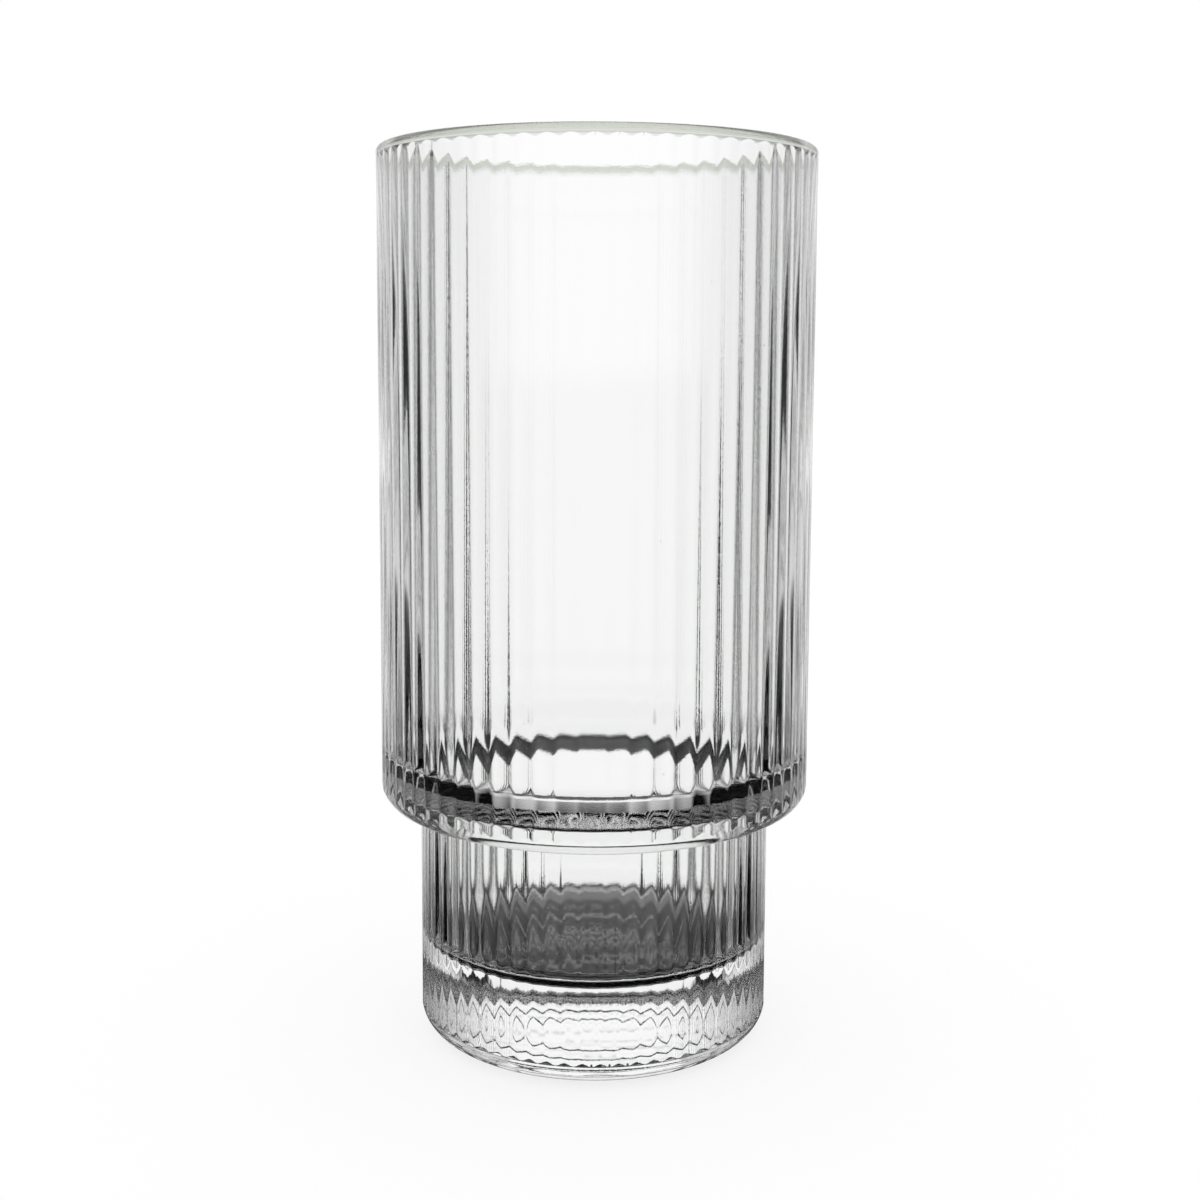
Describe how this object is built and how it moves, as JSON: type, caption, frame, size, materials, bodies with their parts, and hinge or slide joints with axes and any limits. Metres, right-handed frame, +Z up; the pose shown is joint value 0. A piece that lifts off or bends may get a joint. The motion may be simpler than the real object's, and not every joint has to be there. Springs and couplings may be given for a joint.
{
  "type": "drinking glass",
  "caption": "Tall reeded drinking glass with a plain rim, a rounded stacking shoulder and a narrower reeded foot with a thick solid base.",
  "frame": {"origin": "centre of the circle the glass stands on, at the height of the surface under it", "axes": "+Z up along the glass's axis of turn, +X and +Y level, with one reed facing -Y"},
  "size_m": [0.074, 0.074, 0.151],
  "materials": {
    "rim_glass": "clear soda-lime glass, fire polished",
    "bowl_glass": "clear soda-lime glass, pressed reeds, fire polished",
    "shoulder_glass": "clear soda-lime glass, pressed reeds, fire polished",
    "foot_glass": "clear soda-lime glass, pressed reeds, fire polished",
    "base_glass": "clear soda-lime glass, thick and clear, with faint striations"
  },
  "bodies": {
    "root": {"rim": "rim_glass", "reeded_bowl": "bowl_glass", "stacking_shoulder": "shoulder_glass", "reeded_foot": "foot_glass", "base": "base_glass", "standing_ring": "base_glass"}
  },
  "joints": []
}
